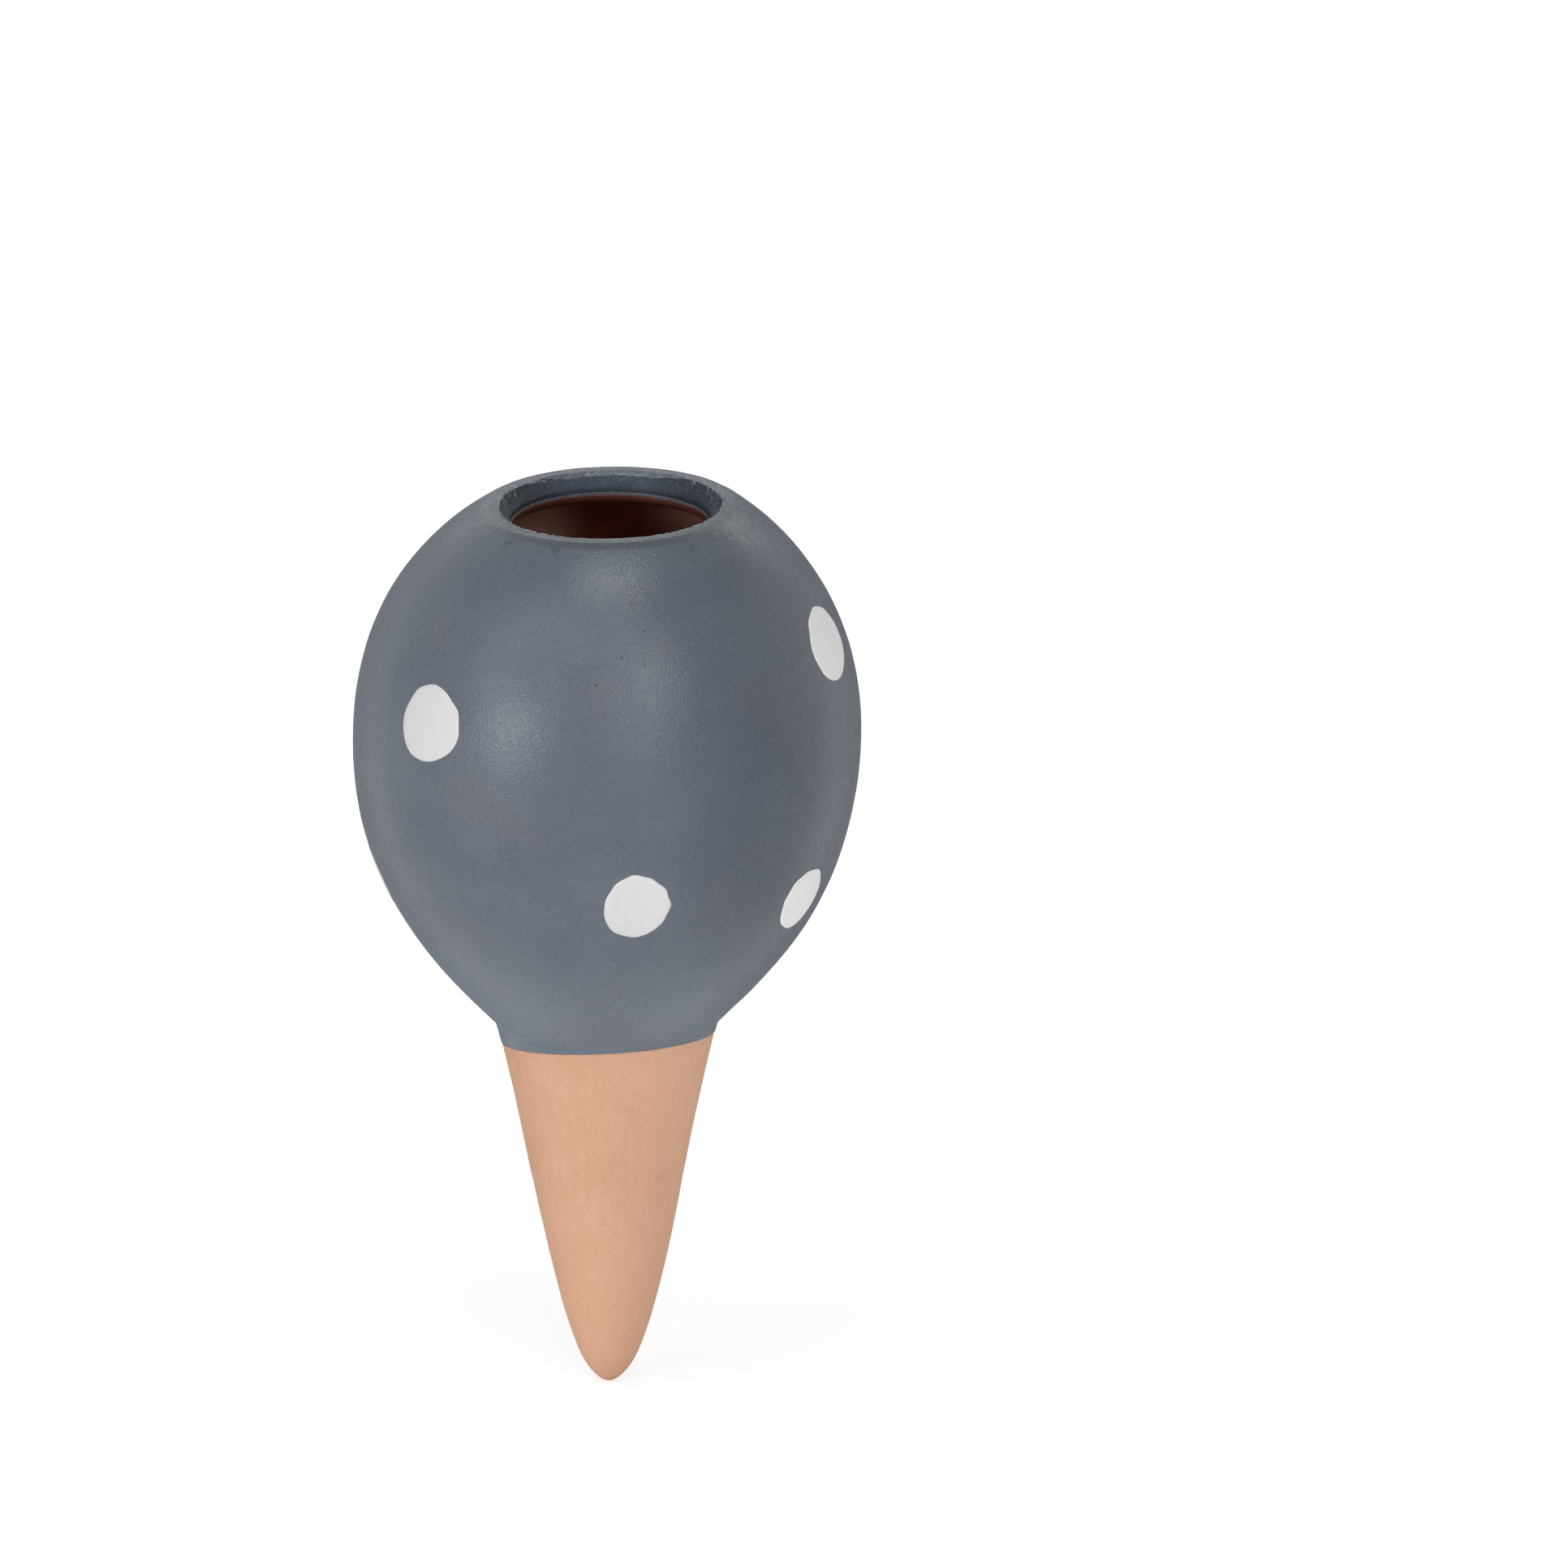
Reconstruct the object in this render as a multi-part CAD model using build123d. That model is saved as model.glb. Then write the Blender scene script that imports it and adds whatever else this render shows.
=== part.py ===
from build123d import *
import math
import os

# A self watering spike. A clay globe holds the water, and a porous clay spike luted under it lets
# the water seep into the soil. Millimetres, +Z up towards the mouth. The origin is on the axis at
# the soil line, the mean level of the line on the spike where the slate coat ends.

# Whole object
globe_diameter = 100.0
rim_rise = 47.5
crease_drop = 58.6
collar_height = 3.9
spike_depth = 71.3
neck_radius = 21.7

# Outline of the globe. Shares follow the height or the width of their own stretch of outline.
waist_up_share = 0.515
shoulder_share = 0.65
waist_down_share = 0.555
underside_share = 0.487
shoulder_slope = 36.0
underside_lean = 43.0

# Rim and throat
mouth_radius = 19.5
lip_flare = 2.1
lip_round = 1.2
rim_width = 4.3
rim_crown = 0.9
throat_drop = 3.0
throat_round = 0.8
coat_reach = 4.6
bare_land = 0.8

# Clay wall of the globe
globe_wall = 4.6
ceiling_round = 1.2
ceiling_slope = 20.0
ceiling_share = 0.6
inner_up_share = 0.5
inner_down_share = 0.52
inner_floor_share = 0.48

# Socket in the globe's foot, and the spigot of the spike that enters it
seat_width = 3.8
spigot_wall = 3.6
socket_depth = 3.0
slip_thickness = 0.4

# Spike
spike_lean = 15.0
spike_top_share = 0.393
tip_share = 0.424
tip_wall = 9.0
hollow_lean = 9.0
hollow_top_share = 0.42
hollow_tip_share = 0.34

# Coat, lining and dots
coat_thickness = 0.4
lining_thickness = 0.4
dot_thickness = 0.3
dip_front_rise = 7.9
dip_side_rise = 3.0
large_dot_radius = 7.6
small_dot_radius = 6.8

# Each dot has an azimuth from the front towards +X, an elevation seen from the middle of the
# waist, a radius and the hand-painted outline that it follows
egg_outline_shares = (1.0, 1.0, 0.95, 1.01, 1.0, 0.94, 1.0, 1.07, 1.09, 1.0, 0.96, 1.0)
slant_outline_shares = (1.02, 1.02, 0.98, 0.96, 0.95, 0.95, 1.04, 1.07, 1.04, 0.97, 0.91, 0.95)
round_outline_shares = (0.97, 0.96, 1.0, 1.09, 1.04, 0.96, 0.97, 1.03, 1.08, 1.09, 1.0, 0.93)
plain_outline_shares = (0.9, 0.93, 0.99, 1.0, 1.01, 1.01, 0.94, 0.97, 0.96, 1.02, 1.0, 0.97)
dots = (
    (-45.8, 14.5, large_dot_radius, egg_outline_shares),
    (72.4, 26.7, large_dot_radius, slant_outline_shares),
    (7.2, -24.2, small_dot_radius, round_outline_shares),
    (58.0, -30.5, small_dot_radius, plain_outline_shares),
    (-86.0, -32.5, small_dot_radius, slant_outline_shares),
    (148.0, 16.0, large_dot_radius, plain_outline_shares),
    (-124.0, 25.0, large_dot_radius, round_outline_shares),
    (110.0, -22.0, small_dot_radius, egg_outline_shares),
    (163.0, -34.0, small_dot_radius, round_outline_shares),
    (-141.0, -21.0, small_dot_radius, plain_outline_shares),
)

# Places that follow from the sizes above
globe_radius = globe_diameter / 2
waist_height = collar_height + crease_drop
rim_height = waist_height + rim_rise
lip_radius = mouth_radius + lip_flare
rim_edge_radius = lip_radius + rim_width
lip_depth = coat_reach + bare_land
crown_radius = rim_crown / (1 - math.cos(math.radians(shoulder_slope)))
clay_bore_radius = mouth_radius + coat_thickness
inner_radius = globe_radius - coat_thickness - globe_wall
socket_radius = neck_radius - seat_width
spigot_radius = socket_radius - slip_thickness
hollow_radius = spigot_radius - spigot_wall
socket_top = collar_height + socket_depth


def heading(angle):
    """The unit direction that points outwards and this many degrees below the level."""
    return Vector(math.cos(math.radians(angle)), -math.sin(math.radians(angle)))


def right_of(way):
    """The unit normal on the right-hand side of a direction."""
    return Vector(way.Y, -way.X)


def mitre(first, second):
    """How far a corner between faces with these normals moves for each unit of offset."""
    return (first + second) * (1 / (1 + first.dot(second)))


def bend(start, start_handle, end_handle, end):
    """A smooth span of outline that leaves and arrives along its two handles."""
    return Bezier(start, start + start_handle, end + end_handle, end)


def turned(*spans):
    """The solid that a closed outline of radius and height sweeps about the upright axis."""
    face = Face(Wire([edge for span in spans for edge in span.edges()]))
    return revolve(Plane.XZ * face, Axis.Z)


# Skins of the outside. A depth of zero is the coat's outer face, coat_thickness is the clay, and a
# negative depth stands proud of the coat, as the dots do.


def waist(depth):
    return Vector(globe_radius - depth, waist_height)


def crown_centre():
    """The centre of the arc between the shoulder and the crest of the rim."""
    edge = Vector(rim_edge_radius, rim_height - rim_crown)
    return edge + right_of(heading(shoulder_slope)) * crown_radius


def rim_edge(depth):
    return crown_centre() - right_of(heading(shoulder_slope)) * (crown_radius - depth)


def crest(depth):
    return crown_centre() + Vector(0, crown_radius - depth)


def upper_span(depth):
    """The outline from the waist up over the shoulder to the edge of the rim."""
    start = waist(depth)
    end = rim_edge(depth)
    rise = Vector(0, (end.Y - start.Y) * waist_up_share)
    fall = heading(shoulder_slope) * (start.X - end.X) * shoulder_share
    return bend(start, rise, fall, end)


def rim_spans(depth):
    """The crowned rim, its rounded lip, the coned throat and the straight land below it."""
    cone = (Vector(mouth_radius, -throat_drop) - Vector(lip_radius, 0)).normalized()
    top_normal = Vector(0, 1)
    cone_normal = right_of(cone)
    bore_normal = Vector(-1, 0)
    lip = Vector(lip_radius, rim_height) - mitre(top_normal, cone_normal) * depth
    throat = Vector(mouth_radius, rim_height - throat_drop) - mitre(cone_normal, bore_normal) * depth
    land_end = Vector(mouth_radius + depth, rim_height - coat_reach)
    crown = TangentArc(rim_edge(depth), crest(depth), tangent=heading(shoulder_slope) * -1)
    rounds = (lip_round - depth, throat_round - depth)
    return crown, FilletPolyline(crest(depth), lip, throat, land_end, radius=rounds)


def crease(depth):
    """The corner all round the neck, where the globe's underside meets the spike."""
    corner = Vector(neck_radius, collar_height)
    return corner + mitre(heading(underside_lean), heading(spike_lean)) * (coat_thickness - depth)


def lower_span(depth):
    """The outline from the waist down the underside to the crease."""
    start = waist(depth)
    end = crease(depth)
    drop = Vector(0, (end.Y - start.Y) * waist_down_share)
    rise = inward(underside_lean) * (end.X - start.X) * underside_share
    return bend(start, drop, rise, end)


def inward(lean):
    """The unit direction down the side of the spike at this lean from the upright."""
    return Vector(-math.sin(math.radians(lean)), -math.cos(math.radians(lean)))


def seam_end(depth):
    """The foot of the thin band of slip below the crease."""
    return crease(depth) + inward(spike_lean) * (slip_thickness / math.cos(math.radians(spike_lean)))


def tip(depth):
    return Vector(0, depth - coat_thickness - spike_depth)


def spike_span(depth):
    """The outline from the slip down the side of the spike and round its tip."""
    start = seam_end(depth)
    end = tip(depth)
    down = inward(spike_lean) * (start.Y - end.Y) * spike_top_share
    return bend(start, down, Vector(start.X * tip_share, 0), end)


# Skins of the inside. A depth of zero is the clay, and lining_thickness is the lining's face.


def land_foot(depth):
    return Vector(clay_bore_radius - depth, rim_height - lip_depth)


def ceiling_start(depth):
    """The end of the round that leads from the straight land into the ceiling."""
    centre = Vector(clay_bore_radius + ceiling_round, rim_height - lip_depth)
    return centre + right_of(heading(ceiling_slope)) * (ceiling_round + depth)


def inner_upper_span(depth):
    """The ceiling, from below the lip out to the waist of the hollow."""
    start = ceiling_start(depth)
    end = Vector(inner_radius - depth, waist_height)
    out = heading(ceiling_slope) * (end.X - start.X) * ceiling_share
    return bend(start, out, Vector(0, (start.Y - end.Y) * inner_up_share), end)


def inner_floor_edge(depth):
    """The corner where the hollow's wall meets the level ring round the spigot."""
    corner = Vector(socket_radius, socket_top)
    return corner + mitre(heading(underside_lean) * -1, Vector(0, 1)) * depth


def inner_lower_span(depth):
    """The hollow's wall from its waist down to the spigot."""
    start = Vector(inner_radius - depth, waist_height)
    end = inner_floor_edge(depth)
    drop = Vector(0, (end.Y - start.Y) * inner_down_share)
    rise = inward(underside_lean) * (end.X - start.X) * inner_floor_share
    return bend(start, drop, rise, end)


# The pieces


def reservoir_globe():
    """The clay shell, with its thick lip, its mouth and the socket in its foot."""
    crown, throat = rim_spans(coat_thickness)
    socket_edge = Vector(socket_radius, collar_height)
    return turned(
        upper_span(coat_thickness),
        crown,
        throat,
        Line(throat @ 1, land_foot(0)),
        TangentArc(land_foot(0), ceiling_start(0), tangent=Vector(0, -1)),
        inner_upper_span(0),
        inner_lower_span(0),
        Line(inner_floor_edge(0), socket_edge),
        Line(socket_edge, crease(coat_thickness)),
        lower_span(coat_thickness),
    )


def luting_slip():
    """The slip between the globe's foot and the spike: a level ring and the collar inside it."""
    bottom = seam_end(coat_thickness)
    return turned(
        Polyline(
            crease(coat_thickness),
            Vector(socket_radius, collar_height),
            Vector(socket_radius, socket_top),
            Vector(spigot_radius, socket_top),
            Vector(spigot_radius, bottom.Y),
            bottom,
            close=True,
        )
    )


def porous_spike():
    """The unglazed cone, hollow down to its thick tip, with a spigot that enters the globe."""
    shoulder = seam_end(coat_thickness)
    hollow_top = Vector(hollow_radius, shoulder.Y)
    hollow_end = tip(coat_thickness) + Vector(0, tip_wall)
    down = inward(hollow_lean) * (hollow_top.Y - hollow_end.Y) * hollow_top_share
    return turned(
        spike_span(coat_thickness),
        Line(tip(coat_thickness), hollow_end),
        bend(hollow_top, down, Vector(hollow_radius * hollow_tip_share, 0), hollow_end),
        Polyline(
            hollow_top,
            Vector(hollow_radius, socket_top),
            Vector(spigot_radius, socket_top),
            Vector(spigot_radius, shoulder.Y),
            shoulder,
        ),
    )


def reservoir_lining():
    """The thin lining from the end of the coat in the throat down over the joint."""
    lining_top = rim_height - coat_reach
    face = lining_thickness
    ring_edge = Vector(hollow_radius, socket_top)
    return turned(
        Polyline(
            land_foot(0),
            Vector(clay_bore_radius, lining_top),
            Vector(clay_bore_radius - face, lining_top),
            land_foot(face),
        ),
        TangentArc(land_foot(0), ceiling_start(0), tangent=Vector(0, -1)),
        TangentArc(land_foot(face), ceiling_start(face), tangent=Vector(0, -1)),
        inner_upper_span(0),
        inner_upper_span(face),
        inner_lower_span(0),
        inner_lower_span(face),
        Polyline(
            inner_floor_edge(0),
            ring_edge,
            ring_edge + Vector(0, face),
            inner_floor_edge(face),
        ),
    )


def slate_coat():
    """The coat over rim, globe and neck, ended by the tilted plane that the piece was dipped to."""
    outer_crown, outer_throat = rim_spans(0)
    inner_crown, inner_throat = rim_spans(coat_thickness)
    whole = turned(
        outer_throat,
        outer_crown,
        upper_span(0),
        lower_span(0),
        Line(crease(0), seam_end(0)),
        spike_span(0),
        Line(tip(0), tip(coat_thickness)),
        spike_span(coat_thickness),
        Line(crease(coat_thickness), seam_end(coat_thickness)),
        lower_span(coat_thickness),
        upper_span(coat_thickness),
        inner_crown,
        inner_throat,
        Line(outer_throat @ 1, inner_throat @ 1),
    )
    front = math.tan(math.radians(dip_front_rise))
    side = math.tan(math.radians(dip_side_rise))
    dip_plane = Plane(origin=(0, 0, 0), z_dir=(-side, front, 1))
    return split(whole, bisect_by=dip_plane, keep=Keep.TOP)


def dot_film():
    """A film as thick as the dots all over the globe's coat, from which each dot is taken."""
    rim_end = Line(rim_edge(0), rim_edge(-dot_thickness))
    neck_end = Line(crease(0), crease(-dot_thickness))
    return turned(
        upper_span(0),
        rim_end,
        upper_span(-dot_thickness),
        lower_span(-dot_thickness),
        neck_end,
        lower_span(0),
    )


def white_dot(film, azimuth, elevation, radius, outline_shares):
    """The part of the film within one hand-painted outline, seen straight out from the waist."""
    out = Vector(0, -1, 0).rotate(Axis.X, -elevation).rotate(Axis.Z, azimuth)
    level = Vector(1, 0, 0).rotate(Axis.Z, azimuth)
    inside = Vector(0, 0, waist_height) + out * rim_edge_radius
    plane = Plane(origin=inside, x_dir=level, z_dir=out)
    step = 360 / len(outline_shares)
    points = [
        Vector(radius * share, 0).rotate(Axis.Z, step * place)
        for place, share in enumerate(outline_shares)
    ]
    outline = Face(Wire(Spline(points, periodic=True)))
    return film & extrude(plane * outline, amount=globe_diameter)


def build():
    """Every piece under the name that a person would use."""
    pieces = {
        "reservoir_globe": reservoir_globe(),
        "porous_spike": porous_spike(),
        "luting_slip": luting_slip(),
        "reservoir_lining": reservoir_lining(),
        "slate_coat": slate_coat(),
    }
    film = dot_film()
    for number, dot in enumerate(dots, start=1):
        pieces[f"white_dot_{number}"] = white_dot(film, *dot)
    return pieces


os.makedirs("parts", exist_ok=True)
for name, piece in build().items():
    export_step(piece, f"parts/{name}.step")
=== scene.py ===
"""The looks of a self watering spike: a slate-coated clay globe on a bare clay spike.

Sizes are in millimetres until a mesh is made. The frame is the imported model's own: +Z up, the
origin on the axis at the soil line, and the front towards -Y. An azimuth runs from the front
towards +X, and "along" is the distance down the turned outline from the foot of the throat.
"""

import logging
import math
from dataclasses import dataclass
from enum import Enum

import bpy
import numpy as np
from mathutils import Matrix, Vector

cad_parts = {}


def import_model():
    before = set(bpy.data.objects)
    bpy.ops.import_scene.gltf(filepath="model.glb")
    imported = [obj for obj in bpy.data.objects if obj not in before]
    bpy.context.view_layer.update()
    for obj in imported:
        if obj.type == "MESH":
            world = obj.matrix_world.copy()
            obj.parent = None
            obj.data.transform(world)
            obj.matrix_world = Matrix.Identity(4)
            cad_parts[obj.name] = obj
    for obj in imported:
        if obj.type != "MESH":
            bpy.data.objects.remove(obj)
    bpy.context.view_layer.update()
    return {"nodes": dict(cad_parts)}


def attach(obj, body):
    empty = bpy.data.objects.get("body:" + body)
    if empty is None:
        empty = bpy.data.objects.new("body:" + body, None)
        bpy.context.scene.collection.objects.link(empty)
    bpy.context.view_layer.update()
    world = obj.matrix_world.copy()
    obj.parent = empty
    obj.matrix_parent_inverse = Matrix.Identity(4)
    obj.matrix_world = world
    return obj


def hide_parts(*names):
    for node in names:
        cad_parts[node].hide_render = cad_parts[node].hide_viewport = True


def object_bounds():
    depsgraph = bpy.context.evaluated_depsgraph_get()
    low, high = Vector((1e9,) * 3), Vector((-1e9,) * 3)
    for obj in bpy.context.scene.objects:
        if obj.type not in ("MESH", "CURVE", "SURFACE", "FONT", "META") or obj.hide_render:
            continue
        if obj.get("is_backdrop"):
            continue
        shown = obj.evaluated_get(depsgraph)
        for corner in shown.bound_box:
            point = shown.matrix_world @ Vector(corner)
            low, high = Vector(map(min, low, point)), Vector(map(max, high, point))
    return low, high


log = logging.getLogger("self_watering_spike")
Array = np.ndarray
Pair = tuple[float, float]
Piece = bpy.types.Object
Material = bpy.types.Material
Tree = bpy.types.NodeTree
Node = bpy.types.Node
Socket = bpy.types.NodeSocket
MM = 0.001
BODY = "root"
ORIGIN = Vector((0, 0, 0))
SPAN_POINTS = 1500
FAR_INSIDE = -99.0  # a from_lip that the sunk side of the rim doesn't reach


# Shapes


def span(start: Array, first: Array | list, second: Array | list, end: Array) -> Array:
    """Points of a cubic Bezier through a start P, an end Q and their handles F and S.

    A point is (1-t)^3 P + 3(1-t)^2 t (P + F) + 3(1-t) t^2 (Q + S) + t^3 Q.

    Args:
        start: where the span starts, as radius and height.
        first: the start's handle, as an offset from it.
        second: the end's handle, as an offset from it.
        end: where the span ends.

    Returns:
        SPAN_POINTS points along the span.
    """
    t = np.linspace(0, 1, SPAN_POINTS)[:, None]
    u = 1 - t
    near, far = start + first, end + second
    return u**3 * start + 3 * u**2 * t * near + 3 * u * t**2 * far + t**3 * end


def heading(angle: float) -> Array:
    """The unit direction that points outwards and this many degrees below the level."""
    return np.array([math.cos(math.radians(angle)), -math.sin(math.radians(angle))])


def direction(azimuth: float, elevation: float) -> Array:
    """The unit direction (sin a cos e, -cos a cos e, sin e) of an azimuth and elevation."""
    a, e = math.radians(azimuth), math.radians(elevation)
    return np.array([math.sin(a) * math.cos(e), -math.cos(a) * math.cos(e), math.sin(e)])


def ease(value: Array, low: float, high: float) -> Array:
    """Zero below low, one above high, and the smooth step 3x^2 - 2x^3 between them."""
    x = np.clip((value - low) / (high - low), 0, 1)
    return x * x * (3 - 2 * x)


def around(radius: Array | float, height: Array | float, azimuth: Array) -> Array:
    """Points at a radius, height and azimuth: x = r sin a, y = -r cos a, z = height."""
    radius, height, azimuth = np.broadcast_arrays(radius, height, azimuth)
    return np.stack([radius * np.sin(azimuth), -radius * np.cos(azimuth), height], axis=-1)


class Outline:
    """A turned outline of radius and height, with its length and its outward normals."""

    STEP = 0.05
    TAIL = 4  # widths of the Gaussian that count on each side
    CRISPNESS = 4
    CRISP_REACH = (0.5, 1.7)  # distances from the crisp corner over which the crispness ends
    NO_CORNER = -9.0

    def __init__(self, points: Array, softness: float, crisp_at: float = NO_CORNER) -> None:
        """Resamples the points evenly and softens their corners with a Gaussian.

        Args:
            points: radius and height of each point, from the top down.
            softness: the Gaussian's width, which rounds a corner to about 2.5 times it.
            crisp_at: how far along there is a corner that stays CRISPNESS times as crisp.
        """
        reach = np.r_[0, np.cumsum(np.hypot(*np.diff(points, axis=0).T))]
        count = int(reach[-1] / self.STEP)
        even = np.linspace(0, reach[-1], count)
        line = np.stack([np.interp(even, reach, points[:, k]) for k in (0, 1)], axis=1)
        crisp = self._soften(line, softness / self.CRISPNESS)
        share = ease(np.abs(even - crisp_at), *self.CRISP_REACH)
        soft = crisp + (self._soften(line, softness) - crisp) * share
        self.radius, self.height = soft
        self.along = np.r_[0, np.cumsum(np.hypot(np.diff(soft[0]), np.diff(soft[1])))]
        tangent = np.stack([np.gradient(soft[0]), np.gradient(soft[1])])
        tangent /= np.hypot(*tangent)
        self.normal_radius, self.normal_height = -tangent[1], tangent[0]

    def _soften(self, line: Array, softness: float) -> Array:
        """The line averaged with the weight exp(-(d / softness)^2 / 2) of the distance d."""
        side = int(self.TAIL * softness / self.STEP)
        weight = np.exp(-0.5 * (np.arange(-side, side + 1) * self.STEP / softness) ** 2)
        before = 2 * line[0] - line[side:0:-1]
        after = 2 * line[-1] - line[-2 : -side - 2 : -1]
        padded = np.concatenate([before, line, after])
        weight /= weight.sum()
        return np.stack([np.convolve(padded[:, k], weight, "valid") for k in (0, 1)])

    @property
    def length(self) -> float:
        """The outline's whole length."""
        return float(self.along[-1])

    def nearest(self, radius: float, height: float) -> float:
        """How far along the outline comes nearest to a point."""
        gap = np.hypot(self.radius - radius, self.height - height)
        return float(self.along[np.argmin(gap)])

    def where(self, height: Array, start: float, curve: Array) -> Array:
        """A curve's value where the outline, past a start along it, comes down to a height."""
        past = self.along > start
        return np.interp(-height, -self.height[past], curve[past])

    def at(self, along: Array, depth: Array | float = 0.0) -> tuple[Array, Array]:
        """Radius and height at a distance along, moved in by a depth against the normal."""
        curves = (self.radius, self.height, self.normal_radius, self.normal_height)
        radius, height, out, up = (np.interp(along, self.along, curve) for curve in curves)
        return np.maximum(radius - depth * out, 0), height - depth * up


@dataclass(frozen=True)
class Ripple:
    """Soft noise: a sum of cosine waves in random directions, with a spread of one."""

    size: float
    seed: int
    waves: int = 28

    SIZES = (0.7, 1.5)  # the shortest and longest wave, as shares of the size

    def at(self, place: Array) -> Array:
        """The noise at points in millimetres: sqrt(2 / n) times the sum of cos(k.p + phase).

        Args:
            place: points, with their coordinates on the last axis.

        Returns:
            One value for each point, mostly between -2 and 2.
        """
        draw = np.random.default_rng(self.seed)
        way = draw.normal(size=(3, self.waves))
        way /= np.linalg.norm(way, axis=0)
        pace = 2 * math.pi / (self.size * draw.uniform(*self.SIZES, self.waves))
        phase = draw.uniform(0, 2 * math.pi, self.waves)
        return np.cos(place @ (way * pace) + phase).sum(-1) * math.sqrt(2 / self.waves)


@dataclass(frozen=True)
class TurnedForm:
    """The thrown shape that coat, clay, lining and dots share, in millimetres.

    A waist, crease or seam is a radius and a height. A slope is in degrees below the level, going
    outwards. A pair of handles gives the length of a span's first and second handle, as a share
    of the height or width that it covers.
    """

    waist: Pair = (50.0, 62.5)
    rim_height: float = 110.0
    rim_edge_radius: float = 25.9
    rim_crown: float = 0.68
    lip_radius: float = 21.85
    mouth_radius: float = 19.5
    throat_drop: float = 3.0
    coat_reach: float = 4.6
    crease: Pair = (22.25, 4.1)
    seam: Pair = (22.1, 3.6)
    tip_height: float = -71.7
    coat_thickness: float = 0.4
    dip_front_rise: float = 7.9
    dip_side_rise: float = 3.0
    corner_softness: float = 0.45
    film: float = 0.1
    rim_slope: float = 36.0
    belly_slope: float = -47.0
    spike_slope: float = 75.0
    shoulder_handles: Pair = (0.515, 0.65)
    belly_handles: Pair = (0.555, 0.487)
    spike_handles: Pair = (0.393, 0.424)
    hollow_radius: float = 45.0
    hollow_drop: float = 5.4
    hollow_slope: float = 20.0
    hollow_shoulder_handles: Pair = (0.6, 0.5)
    hollow_belly_handles: Pair = (0.52, 0.48)
    hollow_softness: float = 0.2
    bend_radius: float = 0.5
    bend_turn: float = 70.0
    socket_radius: float = 17.9
    socket_floor: float = 3.9
    socket_top: float = 6.9

    DIP_STEPS = 8
    CROWN_POINTS = 60
    BEND_POINTS = 30

    def outside(self) -> Outline:
        """The coat's outer face from the foot of the throat over the rim and down to the tip."""
        waist, crease, seam = np.array([self.waist, self.crease, self.seam])
        edge = np.array([self.rim_edge_radius, self.rim_height - self.rim_crown])
        tip = np.array([0.0, self.tip_height])
        up = edge[1] - waist[1]
        down = waist[1] - crease[1]
        upper = span(
            waist,
            [0, self.shoulder_handles[0] * up],
            heading(self.rim_slope) * self.shoulder_handles[1] * (waist[0] - edge[0]),
            edge,
        )
        lower = span(
            waist,
            [0, -self.belly_handles[0] * down],
            heading(self.belly_slope) * self.belly_handles[1] * (waist[0] - crease[0]),
            crease,
        )
        inwards = heading(self.spike_slope) * [-1, 1]
        spike = span(
            seam,
            inwards * self.spike_handles[0] * (seam[1] - tip[1]),
            [self.spike_handles[1] * seam[0], 0],
            tip,
        )
        slope = math.radians(self.rim_slope)
        bow = self.rim_crown / (1 - math.cos(slope))
        angle = np.linspace(0, slope, self.CROWN_POINTS)[:, None]
        centre = edge - bow * np.array([math.sin(slope), math.cos(slope)])
        crown = centre + bow * np.concatenate([np.sin(angle), np.cos(angle)], axis=1)
        throat = np.array(
            [
                [self.mouth_radius, self.rim_height - self.coat_reach],
                [self.mouth_radius, self.rim_height - self.throat_drop],
                [self.lip_radius, self.rim_height],
            ]
        )
        parts = [throat, crown, upper[::-1][1:], lower[1:], spike]
        lip = np.hypot(*np.diff(throat, axis=0).T).sum()
        return Outline(np.concatenate(parts), self.corner_softness, lip)

    def hollow(self) -> Outline:
        """The clay face of the hollow, from the coat's end in the throat down to the spigot."""
        bore = self.mouth_radius + self.coat_thickness
        land = np.array([bore, self.rim_height - self.hollow_drop])
        angle = np.radians(np.linspace(0, self.bend_turn, self.BEND_POINTS))[:, None]
        arc = self.bend_radius * np.concatenate([-np.cos(angle), -np.sin(angle)], axis=1)
        bend = land + [self.bend_radius, 0] + arc
        start = bend[-1]
        waist = np.array([self.hollow_radius, self.waist[1]])
        floor = np.array([self.socket_radius, self.socket_top])
        first, second = self.hollow_shoulder_handles
        upper = span(
            start,
            heading(self.hollow_slope) * first * (waist[0] - start[0]),
            [0, second * (start[1] - waist[1])],
            waist,
        )
        first, second = self.hollow_belly_handles
        lower = span(
            waist,
            [0, -first * (waist[1] - floor[1])],
            heading(self.belly_slope) * second * (waist[0] - floor[0]),
            floor,
        )
        top = np.array([[bore, self.rim_height - self.coat_reach]])
        points = np.concatenate([top, bend, upper[1:], lower[1:]])
        return Outline(points, self.hollow_softness)

    def dip_height(self, azimuth: Array, outside: Outline) -> Array:
        """The height of the dip line, where the coat ends on the spike.

        The line is where the spike meets the plane z = r (tan front cos a + tan side sin a),
        found by putting the spike's radius at the last height back into the plane.
        """
        front = math.tan(math.radians(self.dip_front_rise))
        side = math.tan(math.radians(self.dip_side_rise))
        lean = front * np.cos(azimuth) + side * np.sin(azimuth)
        height = np.zeros_like(azimuth)
        waist = outside.nearest(*self.waist)
        for _ in range(self.DIP_STEPS):
            height = lean * outside.where(height, waist, outside.radius)
        return height


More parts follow.
